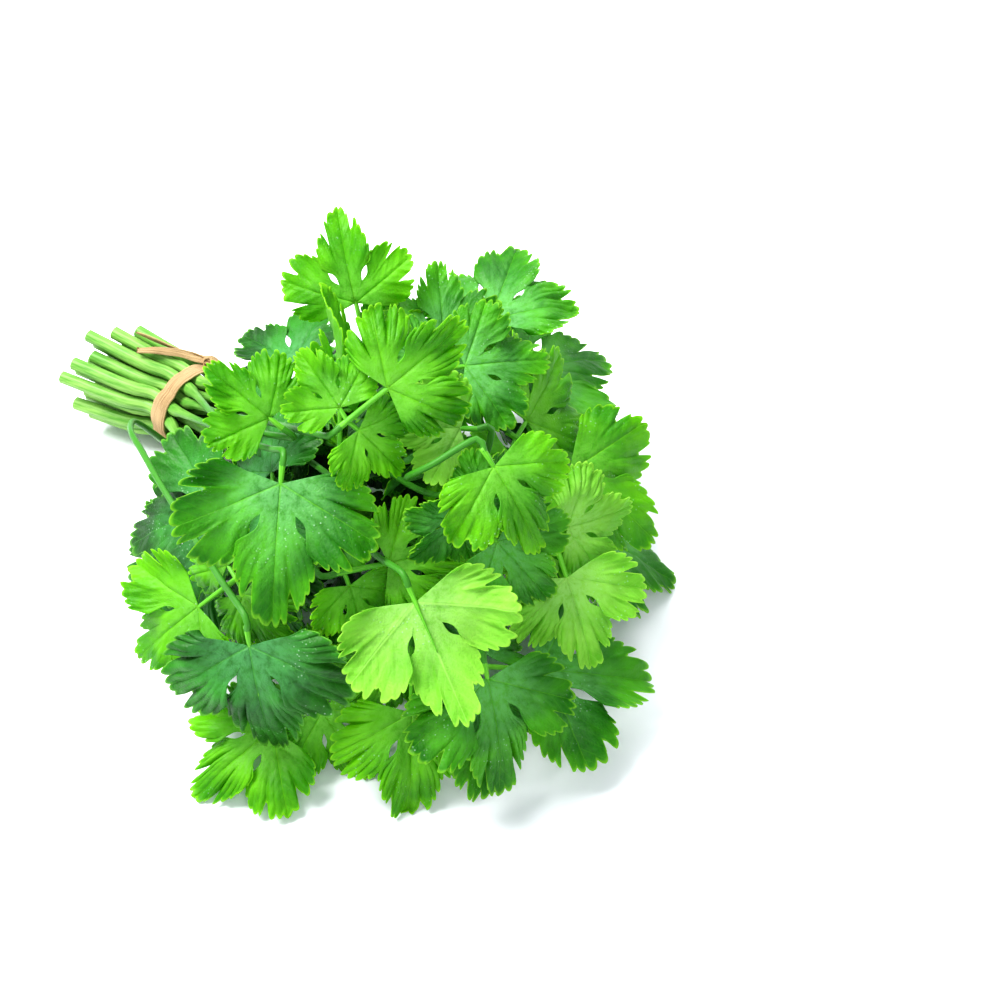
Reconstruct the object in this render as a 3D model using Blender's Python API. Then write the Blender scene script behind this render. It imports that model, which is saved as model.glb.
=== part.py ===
"""A bunch of fresh coriander, lying on a surface and tied with a strip of raffia.

Every sprig is a stem and the compound leaf that it carries. The stems are packed side by side
inside the tie, splay a little towards their cut ends, and fan out on the other side to their
leaves. Lengths are in millimetres and are turned into metres when an object is made.

Axes: +Z is up, +Y runs from the leaves to the cut ends of the stems, and the origin is the
middle of the bottom of the bunch's box.
"""

import math

import bmesh
import bpy
import numpy as np
from mathutils import Matrix, Vector
from mathutils.bvhtree import BVHTree
from mathutils.kdtree import KDTree

MM = 0.001

# Stems
BUTT_RADIUS = 1.95
TIED_RADIUS = 1.85
NECK_RADIUS = 0.8
STEM_SIDES = 6
STEM_STEP = 4.5
SLOT_SPACING = 4.6
AXIS_HEIGHT = 15.4
BUTT_SHIFT = Vector((-9.0, 31.0, 1.5))
BUTT_SPLAY = 1.28
BUTT_STAGGER = 0.09
STRAIGHT = 5.0
# Every second ring is this much wider, so that none is taken for a needless one.
ALTERNATE = 0.03
NECK_LENGTH = 3.0

# Leaves
BLADE_THICKNESS = 0.6
STALKLET_WIDTH = 1.8
SIDE_STALKLET = 0.20
SIDE_ANGLE = 84.0
SIDE_DROOP = 10.0
SIDE_ROLL = 18.0
FORK_SHARE = 0.50
FORK_LENGTH = 2.5
GAP = 0.3
MID_ROW = 0.56
LYING = 1.7
# A blade's rise beside its midrib, its fall towards its tip and its fall towards its sides.
FOLD, ARCH, CUP = 0.10, 0.22, 0.10
# Points of a leaflet's rim, as (degrees from its midrib, share of its length). It has a deep
# notch between its middle lobe and each side lobe.
HALF_RIM = ((23, 0.93), (32, 0.42), (41, 0.84), (60, 0.92), (80, 0.78), (102, 0.50))
RIM = tuple((-a, r) for a, r in reversed(HALF_RIM)) + ((0, 1.0),) + HALF_RIM

# Tie: a flat strip round the stems, with a knot and two loose ends that lie on the cut ends' side.
TIE_WIDTH = 4.2
TIE_THICKNESS = 0.9
TIE_SIDES = 28
KNOT_AT = 48.0
KNOT_RADII = (3.0, 3.4, 2.3)
# Each loose end, as how far round it turns from the knot, and how far it reaches.
TAILS = ((24, 21.0), (44, 15.0))
TAIL_WIDTH = 3.4
TAIL_THICKNESS = 0.7
TAIL_TAPER = 0.25
TAIL_STEPS = 6
# A loose end's height over the stems, at the knot, along its way and at its tip.
TAIL_START, TAIL_LOW, TAIL_END = 1.9, 0.4, 1.5
KNOT_LIFT = 0.1

# Settling: every blade and stem is felt as rows of beads that push each other apart.
BEAD_SPACING = 4.4
BLADE_BEAD = 2.0
STEM_MARGIN = 0.4
FIRST_SIZE = 0.12
GROW_FROM, GROW_TO, FREE_FROM, LAST_STEP = 30, 110, 130, 150
HOLD = 0.03
MOST_ROUNDS = 30
DODGE_ROUNDS = 3
DODGES = 300
MOST_BOW = 34.0
# How a leaf answers: the least hits its push is shared by, how it resists turning, the most that
# it turns in a step, its share of a push by a stem, and how it rises where it's below the ground.
FEWEST_HITS, TURN_RESISTANCE, MOST_TURN, LEAF_SHARE, SUNK_LIFT = 4.0, 400.0, 0.15, 0.3, 0.06
HEAD_START = 0.4
# How a stem answers: no push within this reach of its own leaf, the most that it moves in a
# step, how much of each kink goes, and how much wider it's taken to be after it has touched one.
OWN_REACH, MOST_PUSH, SMOOTHING, WIDER, MOST_WIDE = 7, 1.5, 0.3, 0.15, 1.2

# Materials, as (base colour, roughness).
LOOKS = {
    "leaf_bright": ((0.16, 0.42, 0.03), 0.45),
    "leaf_green": ((0.07, 0.28, 0.03), 0.45),
    "leaf_deep": ((0.04, 0.19, 0.05), 0.5),
    "leaf_pale": ((0.30, 0.55, 0.16), 0.6),
    "stem_green": ((0.25, 0.45, 0.10), 0.4),
    "raffia": ((0.55, 0.36, 0.20), 0.8),
}

# Each sprig: where its end leaflet starts, where that leaflet's tip is, the way its upper face
# looks, and the size of its right and left leaflets beside the end one. Places are measured
# from the middle of the tie, at the height of the surface below it.
SPRIGS = (
    # front and top of the head
    dict(base=(-40, -104, 82), tip=(-58, -123, 58), face=(-5, -5, 7),
         right=0, left=0, tone="leaf_green"),
    dict(base=(-30, -86, 90), tip=(-38, -72, 104), face=(-5, -4, 7),
         right=0, left=0, tone="leaf_bright"),
    dict(base=(-28, -125, 64), tip=(-8, -137, 66), face=(-4, -5, 7),
         right=0.80, left=0, tone="leaf_bright"),
    dict(base=(-30, -140, 64), tip=(-33, -162, 40), face=(5, 5, -6),
         right=0, left=0, tone="leaf_pale"),
    dict(base=(-2, -138, 88), tip=(-4, -158, 72), face=(-3, -4, 8),
         right=0, left=0, tone="leaf_bright"),
    dict(base=(-12, -113, 104), tip=(10, -120, 116), face=(-5, -6, 6),
         right=0.70, left=0.70, tone="leaf_bright"),
    dict(base=(2, -122, 88), tip=(-14, -110, 92), face=(-4, -5, 7),
         right=0, left=0, tone="leaf_pale"),
    dict(base=(-8, -147, 72), tip=(-2, -163, 54), face=(-3, -6, 6),
         right=0.65, left=0.70, tone="leaf_green"),
    dict(base=(10, -152, 50), tip=(4, -168, 30), face=(-3, -6, 6),
         right=0.85, left=0.85, tone="leaf_pale"),
    dict(base=(30, -132, 64), tip=(48, -158, 48), face=(-2, -5, 8),
         right=0.65, left=0.85, tone="leaf_bright"),
    # low, on the surface, round the front
    dict(base=(-4, -158, 26), tip=(25, -176, 12), face=(-2, -3, 9),
         right=0.80, left=0.65, tone="leaf_green"),
    dict(base=(-36, -146, 24), tip=(-50, -163, 2), face=(-4, -6, 6),
         right=0.80, left=0, tone="leaf_bright"),
    dict(base=(-22, -156, 38), tip=(-32, -174, 12), face=(-3, -7, 5),
         right=0, left=0, tone="leaf_green"),
    dict(base=(-62, -112, 52), tip=(-70, -130, 22), face=(-6, -4, 6),
         right=0, left=0, tone="leaf_deep"),
    dict(base=(-62, -90, 44), tip=(-80, -78, 26), face=(-7, -2, 7),
         right=0.80, left=0.80, tone="leaf_bright"),
    dict(base=(-60, -112, 12), tip=(-86, -106, 2), face=(-2, -2, 9),
         right=0.80, left=0.80, tone="leaf_bright"),
    # left flank
    dict(base=(-36, -65, 44), tip=(-56, -37, 28), face=(-5, 0, 8),
         right=0.80, left=0.80, tone="leaf_deep"),
    dict(base=(-42, -62, 28), tip=(-62, -36, 8), face=(-6, -2, 7),
         right=0.80, left=0.80, tone="leaf_deep"),
    # back, above the tie
    dict(base=(10, -42, 54), tip=(12, -12, 50), face=(-2, 2, 9),
         right=0.80, left=0.80, tone="leaf_deep"),
    dict(base=(-9, -86, 82), tip=(6, -70, 104), face=(7, -7, 2),
         right=0.65, left=0, tone="leaf_bright"),
    dict(base=(16, -74, 92), tip=(21, -64, 115), face=(-6, -6, 4),
         right=0.70, left=0, tone="leaf_bright"),
    dict(base=(28, -88, 82), tip=(38, -74, 98), face=(-5, -5, 6),
         right=0.90, left=0, tone="leaf_green"),
    # right flank, far from the cut ends
    dict(base=(50, -98, 62), tip=(88, -100, 52), face=(-1, -3, 9),
         right=0, left=0.80, tone="leaf_green"),
    dict(base=(50, -84, 66), tip=(76, -64, 62), face=(0, 0, 9),
         right=0.65, left=0, tone="leaf_green"),
    dict(base=(38, -114, 52), tip=(74, -122, 30), face=(0, -4, 8),
         right=0, left=0, tone="leaf_bright"),
    dict(base=(38, -50, 36), tip=(60, -26, 18), face=(5, 2, 8),
         right=0.85, left=0, tone="leaf_green"),
    dict(base=(60, -74, 30), tip=(88, -62, 6), face=(5, 2, 8),
         right=0.85, left=0, tone="leaf_deep"),
    dict(base=(46, -134, 22), tip=(66, -154, 4), face=(3, -4, 8),
         right=0.85, left=0.85, tone="leaf_green"),
    dict(base=(24, -108, 84), tip=(46, -118, 80), face=(-2, -3, 9),
         right=0.90, left=0.65, tone="leaf_green"),
)


def clear_scene():
    for obj in list(bpy.data.objects):
        bpy.data.objects.remove(obj, do_unlink=True)


def make_material(name, colour, roughness):
    material = bpy.data.materials.new(name)
    material.use_nodes = True
    shader = material.node_tree.nodes["Principled BSDF"]
    shader.inputs["Base Color"].default_value = (*colour, 1.0)
    shader.inputs["Roughness"].default_value = roughness
    shader.inputs["Metallic"].default_value = 0.0
    return material


def add_object(name, data, material):
    data.materials.append(material)
    obj = bpy.data.objects.new(name, data)
    bpy.context.scene.collection.objects.link(obj)
    return obj


def add_modifier(obj, kind, **settings):
    modifier = obj.modifiers.new(kind.title(), kind)
    for key, value in settings.items():
        setattr(modifier, key, value)


def make_sheet(name, points, faces, thickness, offset, material):
    """An object made of a surface, with points in millimetres, that a Solidify modifier thickens."""
    mesh = bpy.data.meshes.new(name)
    mesh.from_pydata([Vector(p) * MM for p in points], [], faces)
    mesh.shade_smooth()
    obj = add_object(name, mesh, material)
    add_modifier(obj, "SOLIDIFY", thickness=thickness * MM, offset=offset)
    return obj


def make_rod(name, line, radii, material):
    """A round rod along a line in millimetres: a poly curve with a bevel and filled caps."""
    curve = bpy.data.curves.new(name, "CURVE")
    curve.dimensions = "3D"
    curve.bevel_depth = MM
    curve.bevel_resolution = (STEM_SIDES - 4) // 2
    curve.use_fill_caps = True
    spline = curve.splines.new("POLY")
    spline.points.add(len(line) - 1)
    for point, place, radius in zip(spline.points, line, radii):
        point.co = (*(Vector(place) * MM), 1.0)
        point.radius = radius
    spline.use_smooth = True
    return add_object(name, curve, material)


# Leaves


class Frame:
    """A place with a forward, an up and a right direction."""

    def __init__(self, origin, forward, up):
        self.origin = Vector(origin)
        self.forward = forward.normalized()
        self.right = self.forward.cross(up).normalized()
        self.up = self.right.cross(self.forward)

    def point(self, right, forward, up=0.0):
        return self.origin + self.right * right + self.forward * forward + self.up * up

    def turned(self, sideways, origin):
        """The same frame turned in its own plane, by degrees to the right, at another origin."""
        angle = math.radians(sideways)
        forward = self.forward * math.cos(angle) + self.right * math.sin(angle)
        return Frame(origin, forward, self.up)

    def tipped(self, droop, roll):
        """The same frame with its front tipped down, then rolled so that its right side sinks."""
        angle = math.radians(droop)
        forward = self.forward * math.cos(angle) - self.up * math.sin(angle)
        up = self.up * math.cos(angle) + self.forward * math.sin(angle)
        side = forward.cross(up)
        angle = math.radians(roll)
        return Frame(self.origin, forward, up * math.cos(angle) + side * math.sin(angle))


LEVEL = Frame((0, 0, 0), Vector((0, 1, 0)), Vector((0, 0, 1)))


def blade_point(frame, degrees, radius, length):
    """A place on a blade, which is folded a little along its midrib and arches to its tip."""
    across = math.sin(math.radians(degrees)) * radius
    along = math.cos(math.radians(degrees)) * radius
    rise = FOLD * abs(across) - (ARCH * along * abs(along) + CUP * across * across) / length
    return frame.point(across, along, rise)


def rim_reach(degrees):
    for (a, first), (b, second) in zip(RIM, RIM[1:]):
        if degrees <= b:
            return first + (second - first) * (degrees - a) / (b - a)
    return RIM[-1][1]


def end_length(sprig):
    return (Vector(sprig["tip"]) - Vector(sprig["base"])).length


def fork_reach(sprig):
    """How far the end leaflet is from the fork."""
    return FORK_SHARE * end_length(sprig) if sprig["right"] or sprig["left"] else FORK_LENGTH


def leaflets(sprig):
    """Each leaflet's frame, beside the foot of its leaf, with its length and its side."""
    length = end_length(sprig)
    found = [(Frame(LEVEL.point(0, fork_reach(sprig)), LEVEL.forward, LEVEL.up), length, 0)]
    for side, size in ((1, sprig["right"]), (-1, sprig["left"])):
        if size:
            hinge = LEVEL.point(side * SIDE_STALKLET * size * length, 0.7, -0.5)
            blade = LEVEL.turned(side * SIDE_ANGLE, hinge).tipped(SIDE_DROOP, -side * SIDE_ROLL)
            found.append((blade, size * length, side))
    return found


def foot_frame(sprig):
    """Where a leaf forks, looking towards the tip of its end leaflet."""
    base = Vector(sprig["base"])
    end = Frame(base, Vector(sprig["tip"]) - base, Vector(sprig["face"]))
    return Frame(end.point(0, -fork_reach(sprig)), end.forward, end.up)


def leaf_surface(sprig):
    """Points and faces of a compound leaf beside its foot: a fork, stalklets and blades."""
    half = STALKLET_WIDTH / 2
    points, faces = [], []

    def add(point):
        points.append(point)
        return len(points) - 1

    edge = [add(LEVEL.point(side * half, -FORK_LENGTH)) for side in (1, -1)]
    near = [add(LEVEL.point(side * half, -half)) for side in (1, -1)]
    far = [add(LEVEL.point(side * half, half)) for side in (1, -1)]
    faces.append((edge[1], edge[0], near[0], near[1]))
    faces.append((near[1], near[0], far[0], far[1]))
    starts = {0: far, 1: (near[0], far[0]), -1: (far[1], near[1])}
    for frame, length, side in leaflets(sprig):
        start = starts[side]
        right, left = add(frame.point(half, 0)), add(frame.point(-half, 0))
        faces.append((start[1], start[0], right, left))
        inner, outer = (
            [add(blade_point(frame, degrees, reach * share * length, length)) for degrees, reach in RIM]
            for share in (MID_ROW, 1.0)
        )
        middle = len(RIM) // 2
        for i in range(len(RIM) - 1):
            hub = left if i < middle else right
            faces.append((hub, inner[i + 1], inner[i]))
            faces.append((inner[i], inner[i + 1], outer[i + 1], outer[i]))
        faces.append((left, right, inner[middle]))
    return points, faces


def thickened(points, faces, thickness):
    """The closed solid made by giving a surface a thickness, half on each side."""
    normals = [Vector() for _ in points]
    edges = set()
    for face in faces:
        corners = [points[i] for i in face]
        area = Vector()
        for a, b in zip(corners[1:], corners[2:]):
            area += (a - corners[0]).cross(b - corners[0])
        for i, j in zip(face, face[1:] + face[:1]):
            normals[i] += area
            edges.add((i, j))
    offsets = [n.normalized() * (thickness / 2) for n in normals]
    count = len(points)
    shell = [p + o for p, o in zip(points, offsets)] + [p - o for p, o in zip(points, offsets)]
    solid = [tuple(face) for face in faces]
    solid += [tuple(i + count for i in reversed(face)) for face in faces]
    solid += [(j, i, i + count, j + count) for i, j in sorted(edges) if (j, i) not in edges]
    return shell, solid


def posed_surface(sprig, pose):
    """A leaf's surface at its pose, with whatever comes as low as the ground lying flat on it."""
    points, faces = leaf_surface(sprig)
    points = [pose @ p for p in points]
    for point in points:
        if point.z < LYING:
            point.z = BLADE_THICKNESS / 2
    return points, faces


def leaf_shape(sprig, pose, thickness):
    """The thickened leaf, as the settling feels it."""
    return thickened(*posed_surface(sprig, pose), thickness)


def leaf_beads(sprig):
    """Beads spread over the blades of a leaf, beside its foot."""
    found = []
    spread = RIM[-1][0]
    for frame, length, _ in leaflets(sprig):
        rows = math.ceil(length / BEAD_SPACING)
        for row in range(1, rows + 1):
            share = row / rows
            columns = math.ceil(math.radians(2 * spread) * 0.8 * share * length / BEAD_SPACING)
            for k in range(columns + 1):
                degrees = spread * (2 * k / columns - 1)
                found.append(blade_point(frame, degrees, rim_reach(degrees) * share * length, length))
    return np.array([tuple(p) for p in found])


# Stems


def slots(count):
    """Places of the stems across the tie, packed like a honeycomb, nearest the middle first."""
    found = []
    for row in range(-6, 7):
        for column in range(-6, 7):
            x = (column + 0.5 * (row % 2)) * SLOT_SPACING
            found.append(Vector((x, 0, row * SLOT_SPACING * math.sqrt(0.75))))
    found.sort(key=lambda p: (round(p.length, 3), round(p.x, 3), round(p.z, 3)))
    return found[:count]


def matched_slots(feet, places):
    """The slot for each leaf's foot, swapped until no two stems would gain by trading places."""
    wanted = [Vector((foot.x, 0, foot.z - AXIS_HEIGHT)) / max(40.0, -foot.y) for foot in feet]
    chosen = list(range(len(feet)))
    better = True
    while better:
        better = False
        for i in range(len(feet)):
            for j in range(i):
                gain = (wanted[i] - wanted[j]).dot(places[chosen[j]] - places[chosen[i]])
                if gain > 1e-6:
                    chosen[i], chosen[j] = chosen[j], chosen[i]
                    better = True
    return [places[k] for k in chosen]


def first_line(slot, foot, index):
    """Points of a stem's middle line from its cut end, and how many of them the tie holds."""
    tie = slot + Vector((0, 0, AXIS_HEIGHT))
    butt = slot * BUTT_SPLAY + Vector((0, 0, AXIS_HEIGHT)) + BUTT_SHIFT
    butt = tie + (butt - tie) * (1 + BUTT_STAGGER * math.sin(2.4 * index))
    end = foot @ Vector((0, -FORK_LENGTH - GAP, 0))
    held = [butt.lerp(tie, share) for share in (0, 0.3, 0.6)]
    held += [tie + Vector((0, STRAIGHT, 0)), tie, tie - Vector((0, STRAIGHT, 0))]
    steps = max(4, round((end - held[-1]).length / STEM_STEP))
    free = [held[-1].lerp(end, (k + 1) / steps) for k in range(steps)]
    return np.array([tuple(p) for p in held + free]), len(held)


def stem_radius(past):
    """A stem's radius this many points past the tie, or before it where that is less than none."""
    if past < 0:
        return BUTT_RADIUS if past < -3 else TIED_RADIUS
    return NECK_RADIUS + (TIED_RADIUS - NECK_RADIUS) * math.exp(-(past + 1) / 3)


def tube(line, radii, sides):
    """A closed tube round a line, with one radius for each of its points."""
    points, faces = [], []
    side = Vector((1, 0, 0))
    for i, middle in enumerate(line):
        along = (line[min(i + 1, len(line) - 1)] - line[max(i - 1, 0)]).normalized()
        side = (side - along * side.dot(along)).normalized()
        other = along.cross(side)
        for k in range(sides):
            angle = math.tau * k / sides
            points.append(middle + (side * math.cos(angle) + other * math.sin(angle)) * radii[i])
    for i in range(len(line) - 1):
        for k in range(sides):
            a, b = i * sides + k, i * sides + (k + 1) % sides
            faces.append((a, b, b + sides, a + sides))
    faces.append(tuple(reversed(range(sides))))
    faces.append(tuple(range(len(points) - sides, len(points))))
    return points, faces


def rod(line, held, extra):
    """A stem's middle line and radii, at the points that the tie holds and every other one after."""
    rest = len(line) - held
    steps = max(2, round((rest - 2) / 2))
    keep = [0, 2, 3, 5] + [held - 1 + round((rest - 1) * (k + 1) / steps) for k in range(steps)]
    keep.append(len(line) - 1)
    radii = [stem_radius(k - held) + extra + ALTERNATE * (n % 2) for n, k in enumerate(keep)]
    return [Vector(line[k]) for k in keep], radii


def stem_shape(line, held, extra):
    """A stem's tube, as the settling feels it."""
    return tube(*rod(line, held, extra), STEM_SIDES)


# Settling


class Bunch:
    """The leaves and stems as beads, which are pushed apart while the leaves grow."""

    def __init__(self, sprigs):
        self.sprigs = sprigs
        self.beads = [leaf_beads(sprig) for sprig in sprigs]
        frames = [foot_frame(sprig) for sprig in sprigs]
        places = matched_slots([f.origin for f in frames], slots(len(sprigs)))
        self.turn = [np.array([tuple(f.right), tuple(f.forward), tuple(f.up)]).T for f in frames]
        self.spot = [np.array(f.origin) for f in frames]
        self.first_turn = [t.copy() for t in self.turn]
        self.first_spot = [s.copy() for s in self.spot]
        poses = [self.pose(i) for i in range(len(sprigs))]
        made = [first_line(place, pose, i) for i, (place, pose) in enumerate(zip(places, poses))]
        self.lines = [line for line, _ in made]
        self.held = [held for _, held in made]
        self.wide = [0.0] * len(sprigs)

    def pose(self, i):
        matrix = Matrix([list(row) for row in self.turn[i]]).to_4x4()
        matrix.translation = Vector(self.spot[i])
        return matrix

    def all_beads(self, size):
        """Places, radii and owners of all beads: leaf i is owner i, stem i is count + i."""
        places, radii, owners = [], [], []
        count = len(self.beads)
        for i, beads in enumerate(self.beads):
            if size:
                places.append(self.spot[i] + (beads * size) @ self.turn[i].T)
                radii.append(np.full(len(beads), BLADE_BEAD * min(1.0, size + HEAD_START)))
                owners.append(np.full(len(beads), i))
        for i, line in enumerate(self.lines):
            margin = STEM_MARGIN + self.wide[i]
            places.append(line)
            radii.append(np.array([stem_radius(k - self.held[i]) + margin for k in range(len(line))]))
            owners.append(np.full(len(line), count + i))
        return np.concatenate(places), np.concatenate(radii), np.concatenate(owners)

    def pushes(self, places, radii, owners):
        """How far each bead is pushed by the beads of other pieces, and by how many of them."""
        count = len(self.beads)
        tree = KDTree(len(places))
        for k, place in enumerate(places):
            tree.insert(place, k)
        tree.balance()
        push, hits = np.zeros_like(places), np.zeros(len(places))
        reach = 2 * radii.max()
        ends = {}
        for i in range(count):
            ends[count + i] = places[owners == count + i][-1]
        for k, place in enumerate(places):
            for _, j, distance in tree.find_range(place, reach):
                if j <= k or owners[j] == owners[k] or distance < 1e-6:
                    continue
                overlap = radii[j] + radii[k] - distance
                if overlap <= 0:
                    continue
                if owners[j] == owners[k] + count and np.linalg.norm(places[j] - ends[owners[j]]) < OWN_REACH:
                    continue
                way = (places[k] - places[j]) / distance
                share = LEAF_SHARE if owners[k] < count <= owners[j] else 0.5
                push[k] += way * overlap * share
                push[j] -= way * overlap * (1 - share)
                hits[k] += 1
                hits[j] += 1
        return push, hits

    def step(self, size, hold):
        places, radii, owners = self.all_beads(size)
        push, hits = self.pushes(places, radii, owners)
        count = len(self.beads)
        if size:
            for i in range(count):
                mine = owners == i
                self.move_leaf(i, places[mine], push[mine], hits[mine], hold)
        for i in range(count):
            mine = owners == count + i
            self.move_stem(i, push[mine] / np.maximum(1, hits[mine])[:, None])

    def move_leaf(self, i, places, push, hits, hold):
        sunk = np.maximum(0, BLADE_THICKNESS / 2 - places[:, 2])
        push = push + np.outer(SUNK_LIFT * sunk, (0, 0, 1))
        touched = max(FEWEST_HITS, (hits > 0).sum())
        arms = places - self.spot[i]
        twist = np.cross(arms, push).sum(axis=0) / (touched * TURN_RESISTANCE)
        self.spot[i] = self.spot[i] + push.sum(axis=0) / touched
        angle = min(MOST_TURN, np.linalg.norm(twist))
        if angle > 1e-6:
            turn = Matrix.Rotation(angle, 3, Vector(twist))
            self.turn[i] = np.array(turn) @ self.turn[i]
        self.spot[i] += hold * (self.first_spot[i] - self.spot[i])
        blend = self.turn[i] + hold * (self.first_turn[i] - self.turn[i])
        forward = Vector(blend[:, 1]).normalized()
        right = forward.cross(Vector(blend[:, 2])).normalized()
        turn = np.array([tuple(right), tuple(forward), tuple(right.cross(forward))]).T
        self.turn[i] = np.round(turn, 7)
        self.spot[i] = np.round(self.spot[i], 5)

    def move_stem(self, i, push):
        line, held, pose = self.lines[i], self.held[i], self.pose(i)
        line[held:] += np.clip(push[held:], -MOST_PUSH, MOST_PUSH)
        line[-1] = pose @ Vector((0, -FORK_LENGTH - GAP, 0))
        line[-2] = pose @ Vector((0, -FORK_LENGTH - GAP - NECK_LENGTH, 0))
        for _ in range(2):
            line[held:-2] += SMOOTHING * ((line[held - 1 : -3] + line[held + 1 : -1]) / 2 - line[held:-2])
        line[held:, 2] = np.maximum(line[held:, 2], BUTT_RADIUS + 0.1)
        self.lines[i] = np.round(line, 5)

    def touching_stems(self):
        """The stems that come nearer than the gap to another one."""
        shapes = [stem_shape(line, held, 0) for line, held in zip(self.lines, self.held)]
        wide = [stem_shape(line, held, GAP) for line, held in zip(self.lines, self.held)]
        trees = [BVHTree.FromPolygons(*shape) for shape in shapes]
        wide = [BVHTree.FromPolygons(*shape) for shape in wide]
        pairs = [(i, j) for i in range(len(trees)) for j in range(i) if wide[i].overlap(trees[j])]
        return pairs

    def solids(self):
        """The leaves, then the stems, as they are now."""
        found = [leaf_shape(sprig, self.pose(i), BLADE_THICKNESS) for i, sprig in enumerate(self.sprigs)]
        return found + [stem_shape(line, held, 0) for line, held in zip(self.lines, self.held)]

    def dodge(self):
        """Bows each stem that meets something, if that lets it meet less."""
        chance = np.random.default_rng(4)
        trees = [BVHTree.FromPolygons(*shape) for shape in self.solids()]
        count = len(self.sprigs)
        for i in range(count):
            others = trees[: count + i] + trees[count + i + 1 :]

            def met(line):
                wide = BVHTree.FromPolygons(*stem_shape(line, self.held[i], GAP))
                return sum(1 for tree in others if wide.overlap(tree))

            best = met(self.lines[i])
            rest = len(self.lines[i]) - self.held[i]
            for k in range(DODGES):
                if not best:
                    break
                middle, width = chance.uniform(0.2, 0.9), chance.uniform(0.2, 0.6)
                share = (np.arange(len(self.lines[i])) - self.held[i] + 1) / rest
                bow = np.exp(-(((share - middle) / width) ** 2) * 2) * np.sin(np.pi * np.clip(share, 0, 1)) ** 0.5
                way = chance.normal(size=3)
                way *= MOST_BOW * (k + 1) / DODGES / np.linalg.norm(way)
                line = self.lines[i] + np.outer(bow, way)
                line[-2:] = self.lines[i][-2:]
                line[:, 2] = np.maximum(line[:, 2], self.lines[i][:, 2].min())
                now = met(line)
                if now < best:
                    best, self.lines[i] = now, line
            trees[count + i] = BVHTree.FromPolygons(*stem_shape(self.lines[i], self.held[i], 0))

    def settle(self):
        for step in range(LAST_STEP):
            grown = (step - GROW_FROM) / (GROW_TO - GROW_FROM)
            size = FIRST_SIZE + (1 - FIRST_SIZE) * min(1.0, grown) if grown >= 0 else 0
            self.step(size, HOLD if step < FREE_FROM else 0.0)
        for _ in range(MOST_ROUNDS):
            pairs = self.touching_stems()
            if not pairs:
                break
            for i in {k for pair in pairs for k in pair}:
                self.wide[i] = min(MOST_WIDE, self.wide[i] + WIDER)
            for _ in range(4):
                self.step(0, 0)
        for _ in range(DODGE_ROUNDS):
            self.dodge()


# Tie


def bundle_point(degrees, y, outward):
    """A place this far outside the bundle of stems, at an angle round it and a distance along it."""
    way = Vector((math.cos(math.radians(degrees)), 0, math.sin(math.radians(degrees))))
    along = max(0.0, y) / BUTT_SHIFT.y
    middle = Vector((BUTT_SHIFT.x * along, y, AXIS_HEIGHT + BUTT_SHIFT.z * along))
    widest = max(slot.dot(way) for slot in slots(len(SPRIGS))) * (1 + (BUTT_SPLAY - 1) * along)
    return middle + way * (widest + BUTT_RADIUS + GAP + outward)


def make_band(name, material, shift):
    """The strip round the stems: a closed surface on them, thickened outward."""
    points, faces = [], []
    for k in range(TIE_SIDES):
        place = bundle_point(360 * k / TIE_SIDES, 0, 0) + shift
        points += [place + Vector((0, y, 0)) for y in (-TIE_WIDTH / 2, TIE_WIDTH / 2)]
    for k in range(TIE_SIDES):
        a, b = 2 * k, 2 * ((k + 1) % TIE_SIDES)
        faces.append((a, b, b + 1, a + 1))
    return make_sheet(name, points, faces, TIE_THICKNESS, -1, material)


def make_knot(name, material, shift):
    """A squashed ball that sits on the strip."""
    bm = bmesh.new()
    bmesh.ops.create_uvsphere(bm, u_segments=10, v_segments=6, radius=1)
    bmesh.ops.scale(bm, vec=Vector(KNOT_RADII) * MM, verts=bm.verts)
    lean = Matrix.Rotation(math.radians(90 - KNOT_AT), 3, "Y")
    bmesh.ops.rotate(bm, matrix=lean, verts=bm.verts)
    place = bundle_point(KNOT_AT, 0, KNOT_RADII[2] + KNOT_LIFT) + shift
    bmesh.ops.translate(bm, vec=place * MM, verts=bm.verts)
    mesh = bpy.data.meshes.new(name)
    bm.to_mesh(mesh)
    bm.free()
    mesh.shade_smooth()
    return add_object(name, mesh, material)


def make_tail(name, turned, reach, material, shift):
    """A loose end that leaves the knot and lies along the stems."""
    points, faces = [], []
    for k in range(TAIL_STEPS + 1):
        share = k / TAIL_STEPS
        lift = TAIL_START * (1 - share) + TAIL_LOW + TAIL_END * share * share
        degrees = KNOT_AT + turned * share
        middle = bundle_point(degrees, reach * share, lift)
        ahead = bundle_point(degrees + 1, reach * (share + 1 / turned), lift)
        angle = math.radians(degrees)
        outward = Vector((math.cos(angle), 0, math.sin(angle)))
        half = TAIL_WIDTH / 2 * (1 - TAIL_TAPER * share)
        aside = (ahead - middle).cross(outward).normalized() * half
        points += [middle - aside + shift, middle + aside + shift]
    for k in range(TAIL_STEPS):
        a = 2 * k
        faces.append((a, a + 1, a + 3, a + 2))
    return make_sheet(name, points, faces, TAIL_THICKNESS, 0, material)


def make_tie(name, material, shift):
    tie = make_band(name, material, shift)
    parts = [make_knot("tie_knot", material, shift)]
    parts += [make_tail(f"tie_end_{k}", *tail, material, shift) for k, tail in enumerate(TAILS, 1)]
    for part in parts:
        part.hide_render = True
        part.display_type = "WIRE"
        add_modifier(tie, "BOOLEAN", operation="UNION", solver="EXACT", object=part)
    return tie


# The bunch


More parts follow.
